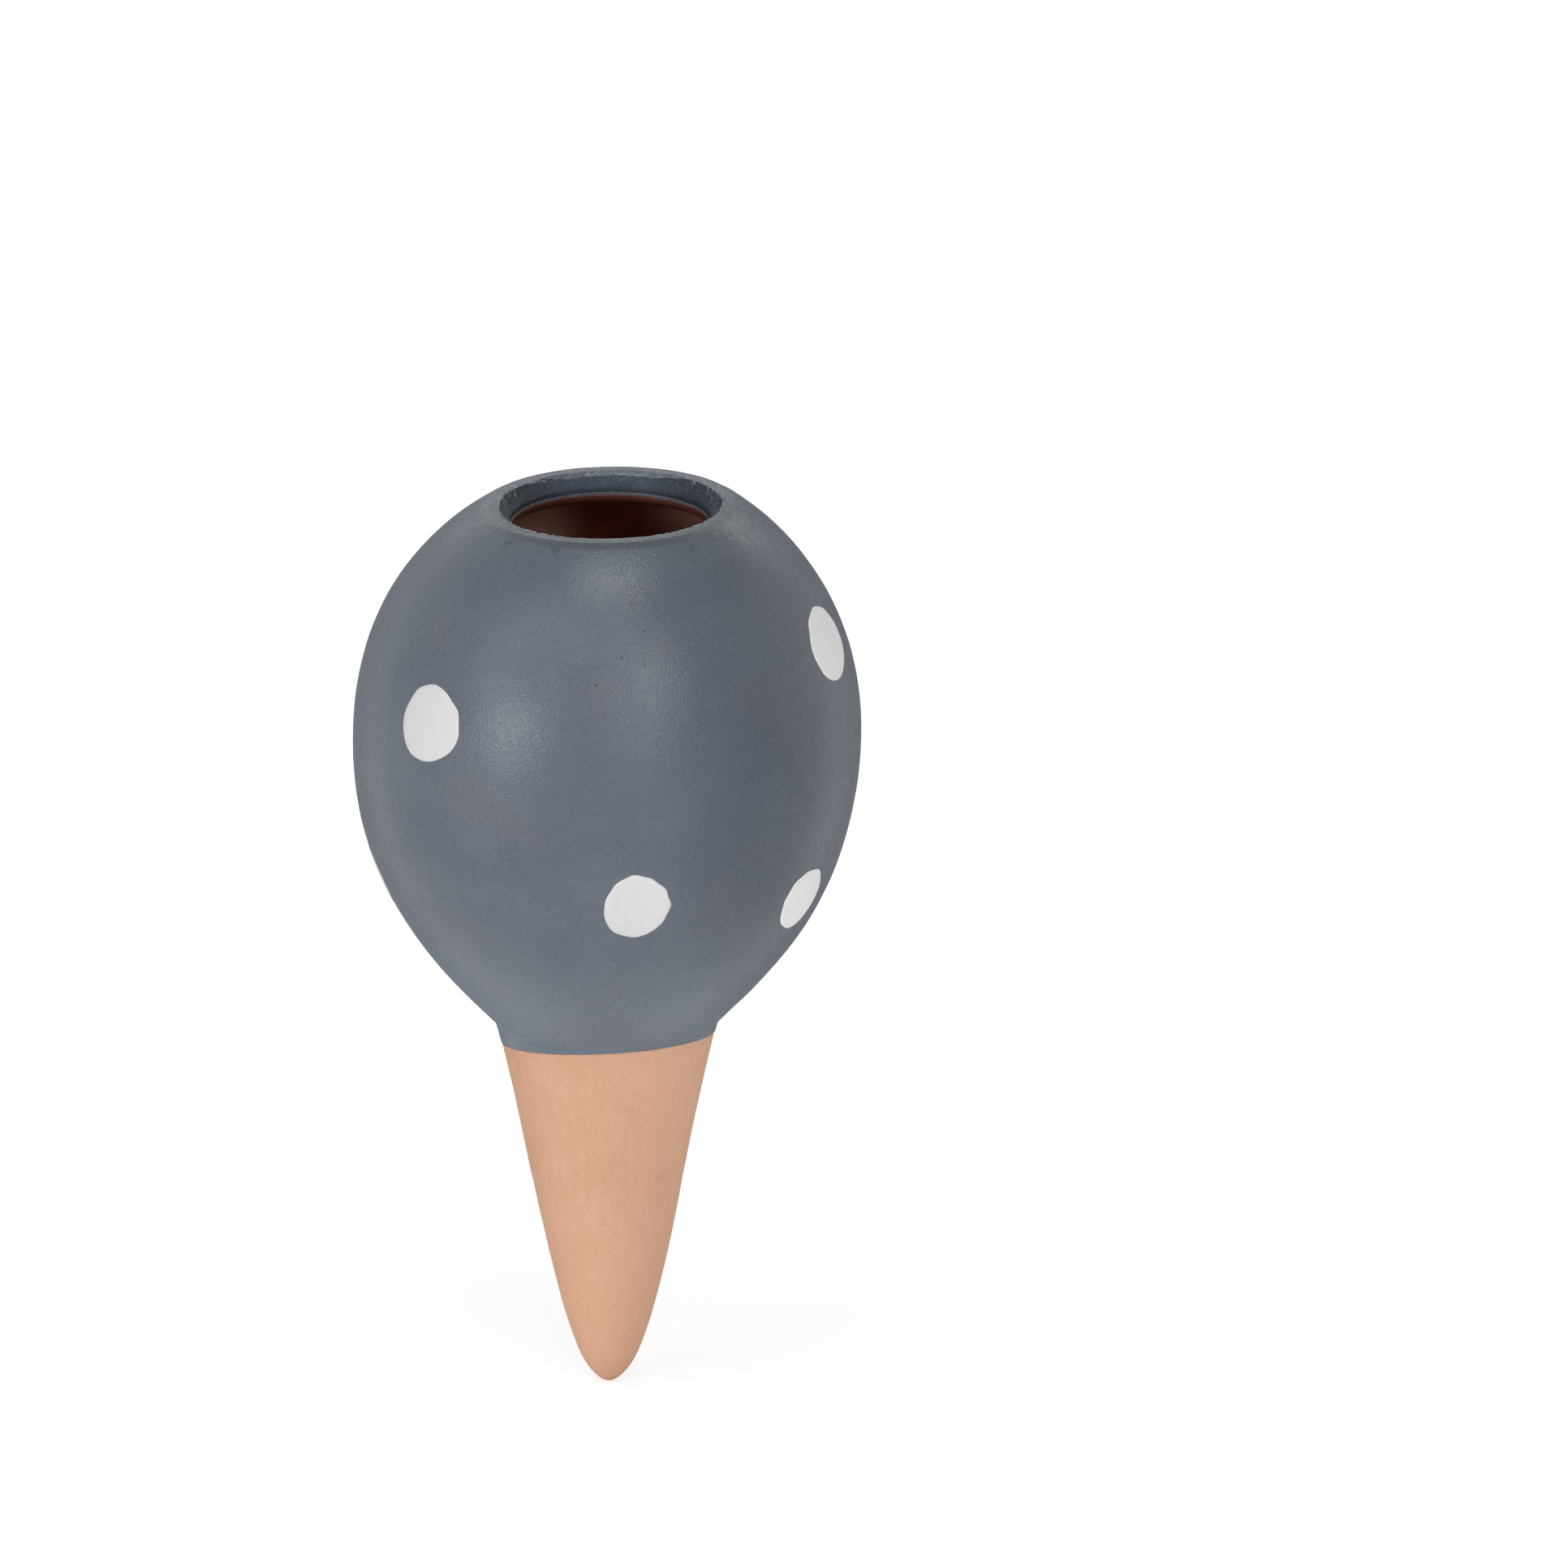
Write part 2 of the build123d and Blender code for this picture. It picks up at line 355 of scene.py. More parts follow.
@dataclass(frozen=True)
class HandWork:
    """What the potter's hands left in the form. Every dent goes inwards, never out."""

    rim_sink: float = 0.9
    rim_sink_azimuth: float = -50.0
    rim_sink_power: float = 1.5
    lean_heights: tuple[float, ...] = (-72, -45, -20, 4, 25, 46, 62, 78, 92, 104)
    lean: tuple[float, ...] = (0.3, 0.2, -0.05, -0.12, 0.0, -0.25, 0.0, 0.2, 0.35, 0.75)
    sink_inside: Pair = (-6.6, -2.5)
    sink_outside: Pair = (1.5, 15.0)
    slow_dent: float = 0.05
    small_dent: float = 0.014
    rim_dent: float = 0.075
    rim_dent_share: float = 0.2
    rim_grit: float = 0.12
    rim_middle: float = -1.4
    rim_spread: float = 1.7
    throat_grit: float = 0.05
    throat_start: Pair = (0.6, 2.2)
    deepest: float = 0.3

    SLOW, SMALL, ROUGH = Ripple(46, 11), Ripple(7, 12), Ripple(5.5, 13)
    GRIT, THROAT = Ripple(1.7, 14), Ripple(2.6, 15)

    def dent(self, place: Array, from_lip: Array) -> Array:
        """How far in the surface lies: slow waves, small lumps, and rougher clay at the lip."""
        near_lip = np.exp(-(((from_lip - self.rim_middle) / self.rim_spread) ** 2))
        near_throat = ease(-from_lip, *self.throat_start)
        slow = self.slow_dent * (1 + self.SLOW.at(place))
        small = self.small_dent * (1 + self.SMALL.at(place))
        rough = self.rim_dent * np.maximum(self.ROUGH.at(place) + self.rim_dent_share, 0)
        grit = self.rim_grit * np.abs(self.GRIT.at(place))
        throat = self.throat_grit * np.abs(self.THROAT.at(place))
        whole = slow + small + near_lip * (rough + grit) + near_throat * throat
        return np.clip(whole, 0, self.deepest)

    def settle(self, place: Array, azimuth: Array, from_lip: Array | float) -> Array:
        """Sinks the near side of the rim, and leans the mouth off the axis.

        Args:
            place: points in millimetres.
            azimuth: the azimuth of each point.
            from_lip: how far each point is past the crest of the rim.

        Returns:
            The moved points.
        """
        near_rim = ease(from_lip, *self.sink_inside) * (1 - ease(from_lip, *self.sink_outside))
        side = 0.5 + 0.5 * np.cos(azimuth - math.radians(self.rim_sink_azimuth))
        moved = place.copy()
        moved[..., 2] -= self.rim_sink * side**self.rim_sink_power * near_rim
        moved[..., 0] += np.interp(place[..., 2], self.lean_heights, self.lean)
        return moved


@dataclass(frozen=True)
class Surface:
    """The finished outer face: the turned outline with the potter's marks in it."""

    form: TurnedForm
    outline: Outline
    work: HandWork
    thinning: float = 4.0
    tip_zone: Pair = (9.0, 1.0)

    @property
    def crest(self) -> float:
        """How far along the crest of the rim is."""
        top = np.argmax(self.outline.height)
        return float(self.outline.along[top])

    def clay_depth(self, along: Array) -> Array:
        """How deep the clay lies: the coat's thickness down to the seam, and a film's below it.

        It eases back to the coat's thickness towards the tip, which is the CAD tip's own place.
        """
        form, end = self.form, self.outline.length
        seam = self.outline.nearest(*form.seam)
        tip_start, tip_end = self.tip_zone
        thin = ease(along, seam, seam + self.thinning)
        thin = thin * (1 - ease(along, end - tip_start, end - tip_end))
        return form.coat_thickness - (form.coat_thickness - form.film) * thin

    def skin(self, along: Array, azimuth: Array, depth: Array | float) -> Array:
        """Points on the skin that lies a depth below the coat's outer face.

        Args:
            along: distance down the outline.
            azimuth: azimuth of each point.
            depth: depth below the outer face, or a negative height above it.

        Returns:
            Points in millimetres.
        """
        along, azimuth = np.broadcast_arrays(along, azimuth)
        from_lip = along - self.crest
        bare = around(*self.outline.at(along), azimuth)
        dent = self.work.dent(bare, from_lip)
        cut = around(*self.outline.at(along, depth + dent), azimuth)
        return self.work.settle(cut, azimuth, from_lip)


# Meshes


def add_object(
    name: str, data: bpy.types.ID, at: Vector = ORIGIN, way: Vector | None = None
) -> Piece:
    """Adds an object to the scene.

    Args:
        name: the object's name.
        data: its mesh, lamp or camera.
        at: where it is.
        way: where a lamp or camera looks, or None for an object that isn't turned.

    Returns:
        The new object.
    """
    new = bpy.data.objects.new(name, data)
    new.location = at
    if way is not None:
        new.rotation_euler = way.to_track_quat("-Z", "Y").to_euler()
    bpy.context.scene.collection.objects.link(new)
    return new


class End(Enum):
    """How a turned mesh closes at the ends of its outline."""

    POLES = "poles"
    RING = "ring"


def turned_mesh(name: str, grid: Array, end: End, from_lip: Array | None = None) -> Piece:
    """Makes a closed mesh from rows of points that each run once around the axis.

    Rows go down the outside and columns run counter-clockwise seen from above, so that a face
    (row, next row, next column) points outwards.

    Args:
        name: the piece's name.
        grid: points in millimetres, rows by columns by three.
        end: POLES closes the first and last row to a point on the axis, RING joins them.
        from_lip: the distance past the rim's crest at each point of a RING grid, if it is kept.

    Returns:
        The new object, at the origin.
    """
    rows, columns = grid.shape[:2]
    index = np.arange(rows * columns).reshape(rows, columns)
    across = np.roll(index, -1, axis=1)
    if end is End.RING:
        below, below_across = np.roll(index, -1, axis=0), np.roll(across, -1, axis=0)
        quads = np.stack([index, below, below_across, across], axis=-1).reshape(-1, 4)
        points, faces = grid.reshape(-1, 3), quads.tolist()
    else:
        quads = np.stack([index[:-1], index[1:], across[1:], across[:-1]], axis=-1)
        first, last = rows * columns, rows * columns + 1
        centres = [grid[row].mean(axis=0) for row in (0, -1)]
        points = np.concatenate([grid.reshape(-1, 3), centres])
        top = np.stack([np.full(columns, first), index[0], across[0]], axis=-1)
        bottom = np.stack([np.full(columns, last), across[-1], index[-1]], axis=-1)
        faces = quads.reshape(-1, 4).tolist() + top.tolist() + bottom.tolist()
    mesh = bpy.data.meshes.new(name)
    mesh.from_pydata((points * MM).tolist(), [], faces)
    if from_lip is not None:
        layer = mesh.attributes.new("from_lip", "FLOAT", "POINT")
        layer.data.foreach_set("value", np.ravel(from_lip).astype(np.float32))
    mesh.shade_smooth()
    mesh.update()
    return add_object(name, mesh)


def dress(piece: Piece, material: Material, node: str) -> None:
    """Gives a new piece its material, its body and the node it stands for."""
    piece.data.materials.append(material)
    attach(piece, BODY)
    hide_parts(node)
    log.info("%s stands for %s, %d faces", piece.name, node, len(piece.data.polygons))


def turn(columns: int) -> Array:
    """The azimuths of a full turn, as one row."""
    return np.linspace(0, 2 * math.pi, columns, endpoint=False)[None, :]


# Finishes


def linear(colour: str) -> tuple[float, float, float, float]:
    """An sRGB hex colour as light: c / 12.92 up to 0.04045, else ((c + 0.055) / 1.055)^2.4."""
    parts = [int(colour[k : k + 2], 16) / 255 for k in (1, 3, 5)]
    light = [c / 12.92 if c <= 0.04045 else ((c + 0.055) / 1.055) ** 2.4 for c in parts]
    return (*light, 1.0)


def add_node(tree: Tree, kind: str, inputs: dict | None = None, **settings: object) -> Node:
    """Adds a node, sets its properties, and links or sets its inputs.

    Args:
        tree: the node tree.
        kind: the node's type name, without the ShaderNode in front.
        inputs: for each input, a socket to link from or a plain value.
        settings: the node's own properties.

    Returns:
        The new node.
    """
    node = tree.nodes.new(f"ShaderNode{kind}")
    for key, value in settings.items():
        setattr(node, key, value)
    for key, value in (inputs or {}).items():
        if isinstance(value, Socket):
            tree.links.new(value, node.inputs[key])
        else:
            node.inputs[key].default_value = value
    return node


def add_value(
    tree: Tree, kind: str, inputs: dict | None = None, output: int | str = 0, **settings: object
) -> Socket:
    """Adds a node, and gives back one of its outputs instead of the node."""
    return add_node(tree, kind, inputs, **settings).outputs[output]


def fresh_tree(owner: Material | bpy.types.World) -> Tree:
    """Turns the nodes of a material or world on, and gives back its emptied tree."""
    owner.use_nodes = True
    owner.node_tree.nodes.clear()
    return owner.node_tree


class Finish:
    """A material under construction: its tree, its shader and its place on the object."""

    NO_SPECK = -0.02  # the radius in a cell without a speck
    SPECK_EDGE = 0.35  # the soft edge, as a share of the largest speck's radius

    def __init__(self, name: str, roughness: float, specular: float = 0.5) -> None:
        """Starts a material with one shader on Object coordinates.

        Args:
            name: the material's name.
            roughness: the shader's roughness, until something is linked to it.
            specular: the shader's specular level, 0.5 for an index of 1.5.
        """
        self.material = bpy.data.materials.new(name)
        self.tree = fresh_tree(self.material)
        inputs = {"Roughness": roughness, "Specular IOR Level": specular}
        self.shader = add_node(self.tree, "BsdfPrincipled", inputs)
        add_node(self.tree, "OutputMaterial", {"Surface": self.shader.outputs["BSDF"]})
        self.place = self.add("TexCoord", output="Object")

    def add(self, kind: str, inputs: dict | None = None, **settings: object) -> Socket:
        """Adds a node to this material, and gives back its first output or the one named."""
        return add_value(self.tree, kind, inputs, **settings)

    def give(self, socket: str, value: Socket) -> None:
        """Links a value to one of the shader's inputs."""
        self.tree.links.new(value, self.shader.inputs[socket])

    def axis(self, number: int) -> Socket:
        """The x, y or z of the place on the object, in millimetres."""
        metres = self.add("SeparateXYZ", {0: self.place}, output=number)
        return self.calc("MULTIPLY", metres, 1 / MM)

    def cloud(
        self,
        size: float,
        detail: float = 2.0,
        shift: float = 0.0,
        stretch: tuple[float, ...] = (1.0, 1.0, 1.0),
        lean: float = 0.0,
    ) -> Socket:
        """Noise with features of this size in millimetres, from about 0.2 to 0.8.

        Args:
            size: the size of the features.
            detail: how many finer layers it has.
            shift: a distance in metres that moves the noise, so that two clouds differ.
            stretch: a scale for x, y and z, small where the features are drawn out.
            lean: how far the noise is turned about y, in radians.

        Returns:
            The noise's value.
        """
        inputs = {0: self.place, 1: (shift, shift * 2, -shift), 2: (0.0, lean, 0.0), 3: stretch}
        place = self.add("Mapping", inputs)
        inputs = {"Vector": place, "Scale": 1 / (size * MM), "Detail": detail}
        return self.add("TexNoise", inputs)

    def ramp(
        self, value: Socket, low: float, high: float, start: float = 0, end: float = 1
    ) -> Socket:
        """Runs smoothly from start at low to end at high."""
        inputs = {0: value, 1: low, 2: high, 3: start, 4: end}
        return self.add("MapRange", inputs, interpolation_type="SMOOTHSTEP")

    def calc(self, kind: str, *values: Socket | float) -> Socket:
        """One step of arithmetic, such as ADD or MULTIPLY_ADD."""
        return self.add("Math", dict(enumerate(values)), operation=kind)

    def times(self, value: Socket, *factors: Socket | float) -> Socket:
        """The value times every factor."""
        for factor in factors:
            value = self.calc("MULTIPLY", value, factor)
        return value

    def off(self, value: Socket, middle: Socket | float) -> Socket:
        """How far a value is from a middle, to either side."""
        return self.calc("ABSOLUTE", self.calc("SUBTRACT", value, middle))

    def tint(self, share: Socket | float, first: object, second: object) -> Socket:
        """The first colour where the share is zero, and the second where it is one."""
        colours = [linear(c) if isinstance(c, str) else c for c in (first, second)]
        inputs = {0: share, 6: colours[0], 7: colours[1]}
        return self.add("Mix", inputs, output=2, data_type="RGBA")

    def lay(self, colour: Socket, *tints: tuple[Socket, object]) -> None:
        """Lays tints over a colour, each a share and its shade, and gives it to the shader."""
        for share, shade in tints:
            colour = self.tint(share, colour, shade)
        self.give("Base Color", colour)

    def specks(self, spacing: float, widest: float, share: float, shift: float) -> Socket:
        """Scattered round specks: in a share of the cells, one inside a radius drawn for the cell.

        Args:
            spacing: the distance between cells, in millimetres.
            widest: the largest speck's radius, in millimetres.
            share: the share of the cells that have a speck.
            shift: a distance in metres that moves the pattern.

        Returns:
            One inside a speck and zero outside.
        """
        inputs = {0: self.place, 1: (shift, -shift, shift)}
        place = self.add("Mapping", inputs)
        inputs = {"Vector": place, "Scale": 1 / (spacing * MM)}
        cells = add_node(self.tree, "TexVoronoi", inputs).outputs
        drawn = self.add("SeparateColor", {0: cells["Color"]})
        reach = widest / spacing
        radius = self.ramp(drawn, 1 - share, 1.0, self.NO_SPECK, reach)
        gap = self.calc("SUBTRACT", radius, cells["Distance"])
        return self.ramp(gap, 0.0, self.SPECK_EDGE * reach)

    def relief(self, layers: list[tuple[Socket, float]]) -> None:
        """Bumps the surface by each layer's value times its height in millimetres."""
        normal = None
        for value, height in layers:
            inputs = {"Height": value, "Distance": abs(height) * MM, "Strength": 1.0}
            if normal is not None:
                inputs["Normal"] = normal
            normal = self.add("Bump", inputs, invert=height < 0)
        self.give("Normal", normal)


@dataclass(frozen=True)
class SlateCoat:
    """Matt slate-grey ceramic paint, dipped and rubbed down by hand.

    It gives the eye a satin sheen broken up by a fine grain, slow clouds a little warmer and
    cooler, dark pits, hair cracks, a few pale flecks, and rubbed clay-grey grains along the lip.
    Its colour also holds painted shade in the throat, in one band down the right and in a ring
    outside the near side of the rim, painted light low down, and painted highlights along the
    front of the crest and where the coat ends in the throat.
    """

    body: str = "#515964"
    pale: str = "#58606A"
    warm: str = "#5B5D66"
    # painted light: a paler shade low down, standing in for light from the floor
    painted_low_light: str = "#646F7A"
    # dark specks, marks and smudges, and also painted shade in a ring outside the near rim
    pit_and_shade: str = "#2C333D"
    fleck: str = "#7D858D"
    # rubbed grains, and also painted highlights on the front crest and where the coat ends
    worn_and_highlight: str = "#8C9399"
    crack: str = "#1E242C"
    # painted shade for the throat and for a band down the right
    painted_shade: str = "#3A4350"
    shaded: str = "#1F2631"
    roughness: float = 0.29
    specular: float = 0.42
    dryness: float = 0.4

    def make(self) -> Material:
        """Builds the coat's material."""
        f = Finish("slate_grey_dipped_ceramic_paint", self.roughness, self.specular)
        from_lip = f.add("Attribute", output="Fac", attribute_name="from_lip")
        level = f.axis(0)
        across = f.calc("ABSOLUTE", level)
        inward = f.calc("ADD", from_lip, f.ramp(across, 9, 19, 0, -1.1))
        grain = f.cloud(0.42, 1, 0.17)
        lumps = f.cloud(1.6, 2, 0.23)
        pits = f.specks(2.4, widest=0.25, share=0.38, shift=0.11)
        dust = f.specks(1.4, widest=0.13, share=0.3, shift=0.27)
        flecks = f.specks(4.6, widest=0.17, share=0.16, shift=0.53)
        hairs = self._hairs(f)
        marks = self._lip_crack(f, inward)
        warmer = f.ramp(f.cloud(17, 2, 0.31), 0.5, 0.72, 0, 0.5)
        # painted light: paler towards the bottom, standing in for light from the floor
        lit_low_down = f.ramp(f.axis(2), 40, -2, 0, 0.8)
        # painted shade: a darker band down the right of the globe
        painted_dark_band = f.times(f.ramp(level, 13, 30), f.ramp(level, 48, 36), 0.28)
        in_throat = f.ramp(inward, -1.35, -1.9)
        f.lay(
            f.tint(f.ramp(f.cloud(26, 3), 0.38, 0.64), self.body, self.pale),
            (warmer, self.warm),
            (lit_low_down, self.painted_low_light),
            (painted_dark_band, self.painted_shade),
            (f.ramp(grain, 0.5, 0.8, 0, 0.07), self.fleck),
            (f.ramp(grain, 0.5, 0.2, 0, 0.1), self.pit_and_shade),
            # dark smudges, and painted shade in a ring outside the near rim
            (self._soil_and_shade(f, from_lip), self.pit_and_shade),
            # painted shade in the throat, deeper towards its sides
            (in_throat, f.tint(f.ramp(across, 6, 17), self.painted_shade, self.shaded)),
            # rubbed grains, and painted highlights on the front crest and where the coat ends
            (self._wear_and_highlights(f, from_lip, inward), self.worn_and_highlight),
            (f.times(pits, 0.95), self.pit_and_shade),
            (f.times(dust, 0.7), self.pit_and_shade),
            (f.times(hairs, 0.4), self.pit_and_shade),
            (f.times(self._scratch(f), 0.7), self.pit_and_shade),
            (f.times(flecks, 0.5), self.fleck),
            (f.times(marks, 0.9), self.crack),
        )
        rough = f.ramp(lumps, 0.3, 0.7, self.roughness + 0.04, self.roughness - 0.04)
        slant = f.add("LayerWeight", {"Blend": 0.5}, output="Facing")
        dry = f.calc("MAXIMUM", f.ramp(slant, 0.45, 0.9), in_throat)
        f.give("Roughness", f.calc("MULTIPLY_ADD", dry, self.dryness, rough))
        wall = f.ramp(f.off(from_lip, -2.9), 2.6, 1.4)
        ragged = f.times(f.cloud(0.9, 3, 0.66), wall)
        layers = [(lumps, 0.035), (ragged, 0.17), (grain, 0.085), (pits, -0.09), (dust, -0.04)]
        f.relief([*layers, (hairs, -0.04), (marks, -0.12)])
        return f.material

    @staticmethod
    def _hairs(f: Finish) -> Socket:
        """Short hair cracks: where one noise crosses its middle, in patches of two others."""
        line = f.ramp(f.off(f.cloud(1.5, 1, 0.83), 0.5), 0.035, 0.008)
        pieces = f.ramp(f.cloud(0.9, 1, 0.29), 0.54, 0.62)
        patches = f.ramp(f.cloud(13, 2, 0.59), 0.62, 0.7)
        return f.times(line, pieces, patches)

    @staticmethod
    def _lip_crack(f: Finish, from_lip: Socket) -> Socket:
        """A thin crack that wanders along the inner edge of the rim and comes and goes."""
        wander = f.ramp(f.cloud(3.0, 3, 0.9), 0.25, 0.75, -0.6, 0.6)
        gap = f.off(f.calc("ADD", from_lip, wander), -1.6)
        broken = f.ramp(f.cloud(5.0, 2, 0.4), 0.47, 0.53)
        return f.times(f.ramp(gap, 0.2, 0.08), broken)

    @staticmethod
    def _wear_and_highlights(f: Finish, from_lip: Socket, inward: Socket) -> Socket:
        """Pale grains where hands and stacking rubbed the rim, most of all along its edge, and
        painted highlights: a thin line along the front of the crest and one where the coat ends.
        """
        edge = f.ramp(f.off(inward, -1.4), 0.32, 0.08)
        edge = f.times(edge, f.ramp(f.cloud(2.2, 3, 0.35), 0.42, 0.6, 0, 0.75))
        crown = f.ramp(f.off(from_lip, 1.0), 5.0, 1.0)
        grains = f.ramp(f.cloud(0.7, 3, 0.7), 0.5, 0.66)
        rubbed = f.ramp(f.cloud(9.0, 2, 0.77), 0.4, 0.62, 0.2, 0.75)
        back = f.axis(1)
        crown = f.times(crown, grains, rubbed, f.ramp(back, -16, 4, 0.15, 1))
        # painted highlight: a thin pale line along the crest, on its near side only
        near = f.ramp(f.calc("ABSOLUTE", from_lip), 0.3, 0.15, 0, 0.5)
        near = f.times(near, f.ramp(back, -10, -17))
        # painted highlight: a thin pale line where the coat ends in the throat
        end = f.ramp(from_lip, -5.22, -5.36, 0, 0.5)
        return f.calc("MAXIMUM", f.calc("MAXIMUM", edge, crown), f.calc("MAXIMUM", near, end))

    @staticmethod
    def _soil_and_shade(f: Finish, from_lip: Socket) -> Socket:
        """Dark smudges on the shoulder outside the rim, and painted shade in a ring on its near
        side.
        """
        band = f.ramp(f.off(from_lip, 4.5), 4.5, 1.0)
        smudge = f.ramp(f.cloud(4.2, 3, 0.47), 0.56, 0.72, 0, 0.5)
        # painted shade: a darker ring outside the rim, on its near side only
        ring = f.ramp(f.off(from_lip, 1.8), 3.2, 1.6, 0, 0.5)
        ring = f.times(ring, f.ramp(f.axis(1), 6, -10))
        return f.calc("MAXIMUM", f.times(band, smudge), ring)

    @staticmethod
    def _scratch(f: Finish) -> Socket:
        """A broken level scratch, 11 mm long, on the front of the waist."""
        across, back, height = f.axis(0), f.axis(1), f.axis(2)
        slope = f.calc("MULTIPLY_ADD", across, 0.07, 61.5)
        line = f.ramp(f.off(height, slope), 0.14, 0.04)
        short = f.ramp(f.off(across, -2.0), 6.0, 4.5)
        front = f.ramp(back, 0, -10)
        broken = f.ramp(f.cloud(0.8, 1, 0.15), 0.46, 0.56)
        return f.times(line, short, front, broken)


@dataclass(frozen=True)
class BareClay:
    """Unglazed pale terracotta, thrown and sponged smooth.

    It gives the eye a dry, flat face with fine sand in it, faint streaks down the spike where
    the sponge ran, painted light that makes it paler towards the right and the tip, and a few
    rust-coloured grains.
    """

    body: str = "#CF9F82"
    pale: str = "#D3A58A"
    rust: str = "#B4714F"
    sand: str = "#E0B9A1"
    # painted light towards the right and towards the tip
    painted_side_light: str = "#E4B496"
    roughness: float = 0.88

    def make(self) -> Material:
        """Builds the clay's material."""
        f = Finish("unglazed_sponged_terracotta", self.roughness, 0.3)
        grain = f.cloud(0.36, 1, 0.13)
        streaks = f.cloud(1.4, stretch=(1.0, 1.0, 0.06))
        grains = f.specks(5.5, widest=0.2, share=0.2, shift=0.37)
        pits = f.specks(2.4, widest=0.12, share=0.25, shift=0.61)
        rubbed = f.ramp(f.cloud(8.0, 3, 0.45), 0.64, 0.78)
        right, lit_low_down = f.ramp(f.axis(0), 0, 18), f.ramp(f.axis(2), -25, -70, 0, 0.6)
        f.lay(
            f.tint(f.ramp(f.cloud(21, 2), 0.36, 0.66), self.body, self.pale),
            # painted light: paler towards the right and towards the tip
            (f.calc("ADD", right, lit_low_down), self.painted_side_light),
            (f.ramp(streaks, 0.4, 0.8, 0, 0.16), self.sand),
            (f.ramp(grain, 0.5, 0.8, 0, 0.3), self.sand),
            (f.ramp(grain, 0.5, 0.2, 0, 0.22), self.rust),
            (f.times(rubbed, 0.16), self.rust),
            (f.times(grains, 0.6), self.rust),
            (f.times(pits, 0.35), self.rust),
        )
        f.relief([(streaks, 0.012), (grain, 0.02), (pits, -0.05)])
        return f.material


@dataclass(frozen=True)
class BrownLining:
    """Thin red-brown slip glaze, poured in and out again, over the rings of the throwing.

    It gives the eye a dark brown with a low gloss and faint level rings, painted light that
    makes its sides paler, and painted shade along its upper edge.
    """

    body: str = "#8C4D3F"
    deep: str = "#743B2E"
    # painted shade along the lining's upper edge
    edge: str = "#50271B"
    # painted light on the sides of the hollow's wall
    painted_wall_light: str = "#EABBAB"
    roughness: float = 0.5

    def make(self) -> Material:
        """Builds the lining's material."""
        f = Finish("poured_red_brown_slip_glaze", self.roughness)
        rings = f.cloud(2.6, stretch=(0.08, 0.08, 1.0))
        grain = f.cloud(0.6, 2, 0.2)
        height = f.axis(2)
        sides = f.ramp(f.off(f.axis(0), 1.5), 4, 17)
        f.lay(
            f.tint(f.ramp(f.cloud(14, 3), 0.35, 0.65), self.body, self.deep),
            (f.ramp(grain, 0.5, 0.7, 0, 0.2), self.deep),
            # painted light: paler at the sides of the wall, higher up
            (f.times(sides, f.ramp(height, 45, 78)), self.painted_wall_light),
            # painted shade along the upper edge
            (f.ramp(height, 103.0, 103.9), self.edge),
        )
        f.relief([(rings, 0.008), (grain, 0.012)])
        return f.material


@dataclass(frozen=True)
class DotPaint:
    """Thick white acrylic, dabbed on with a round brush.

    It gives the eye a clean satin white with faint brush strokes in its relief, and painted
    light that makes it whiter towards the right.
    """

    body: str = "#CBCBCB"
    # painted light: the whiter paint towards the right
    full: str = "#F2F2F2"
    roughness: float = 0.5

    def make(self) -> Material:
        """Builds the paint's material."""
        f = Finish("white_brushed_acrylic_paint", self.roughness, 0.4)
        strokes = f.cloud(0.9, stretch=(1.0, 1.0, 0.2), lean=0.5)
        # painted light: whiter towards the right
        f.lay(f.tint(f.ramp(f.axis(0), -4, 42), self.body, self.full))
        f.relief([(strokes, 0.012), (f.cloud(5, 2), 0.03)])
        return f.material


@dataclass(frozen=True)
class JoiningSlip:
    """Liquid clay that dried between globe and spike, matt and a little paler than the clay."""

    body: str = "#C99A7E"
    pale: str = "#D8B49C"

    def make(self) -> Material:
        """Builds the slip's material."""
        f = Finish("dried_joining_slip", 0.92, 0.3)
        grain = f.cloud(0.8, 3)
        f.lay(f.tint(f.ramp(grain, 0.35, 0.65), self.body, self.pale))
        f.relief([(grain, 0.05)])
        return f.material


# Sub-assemblies


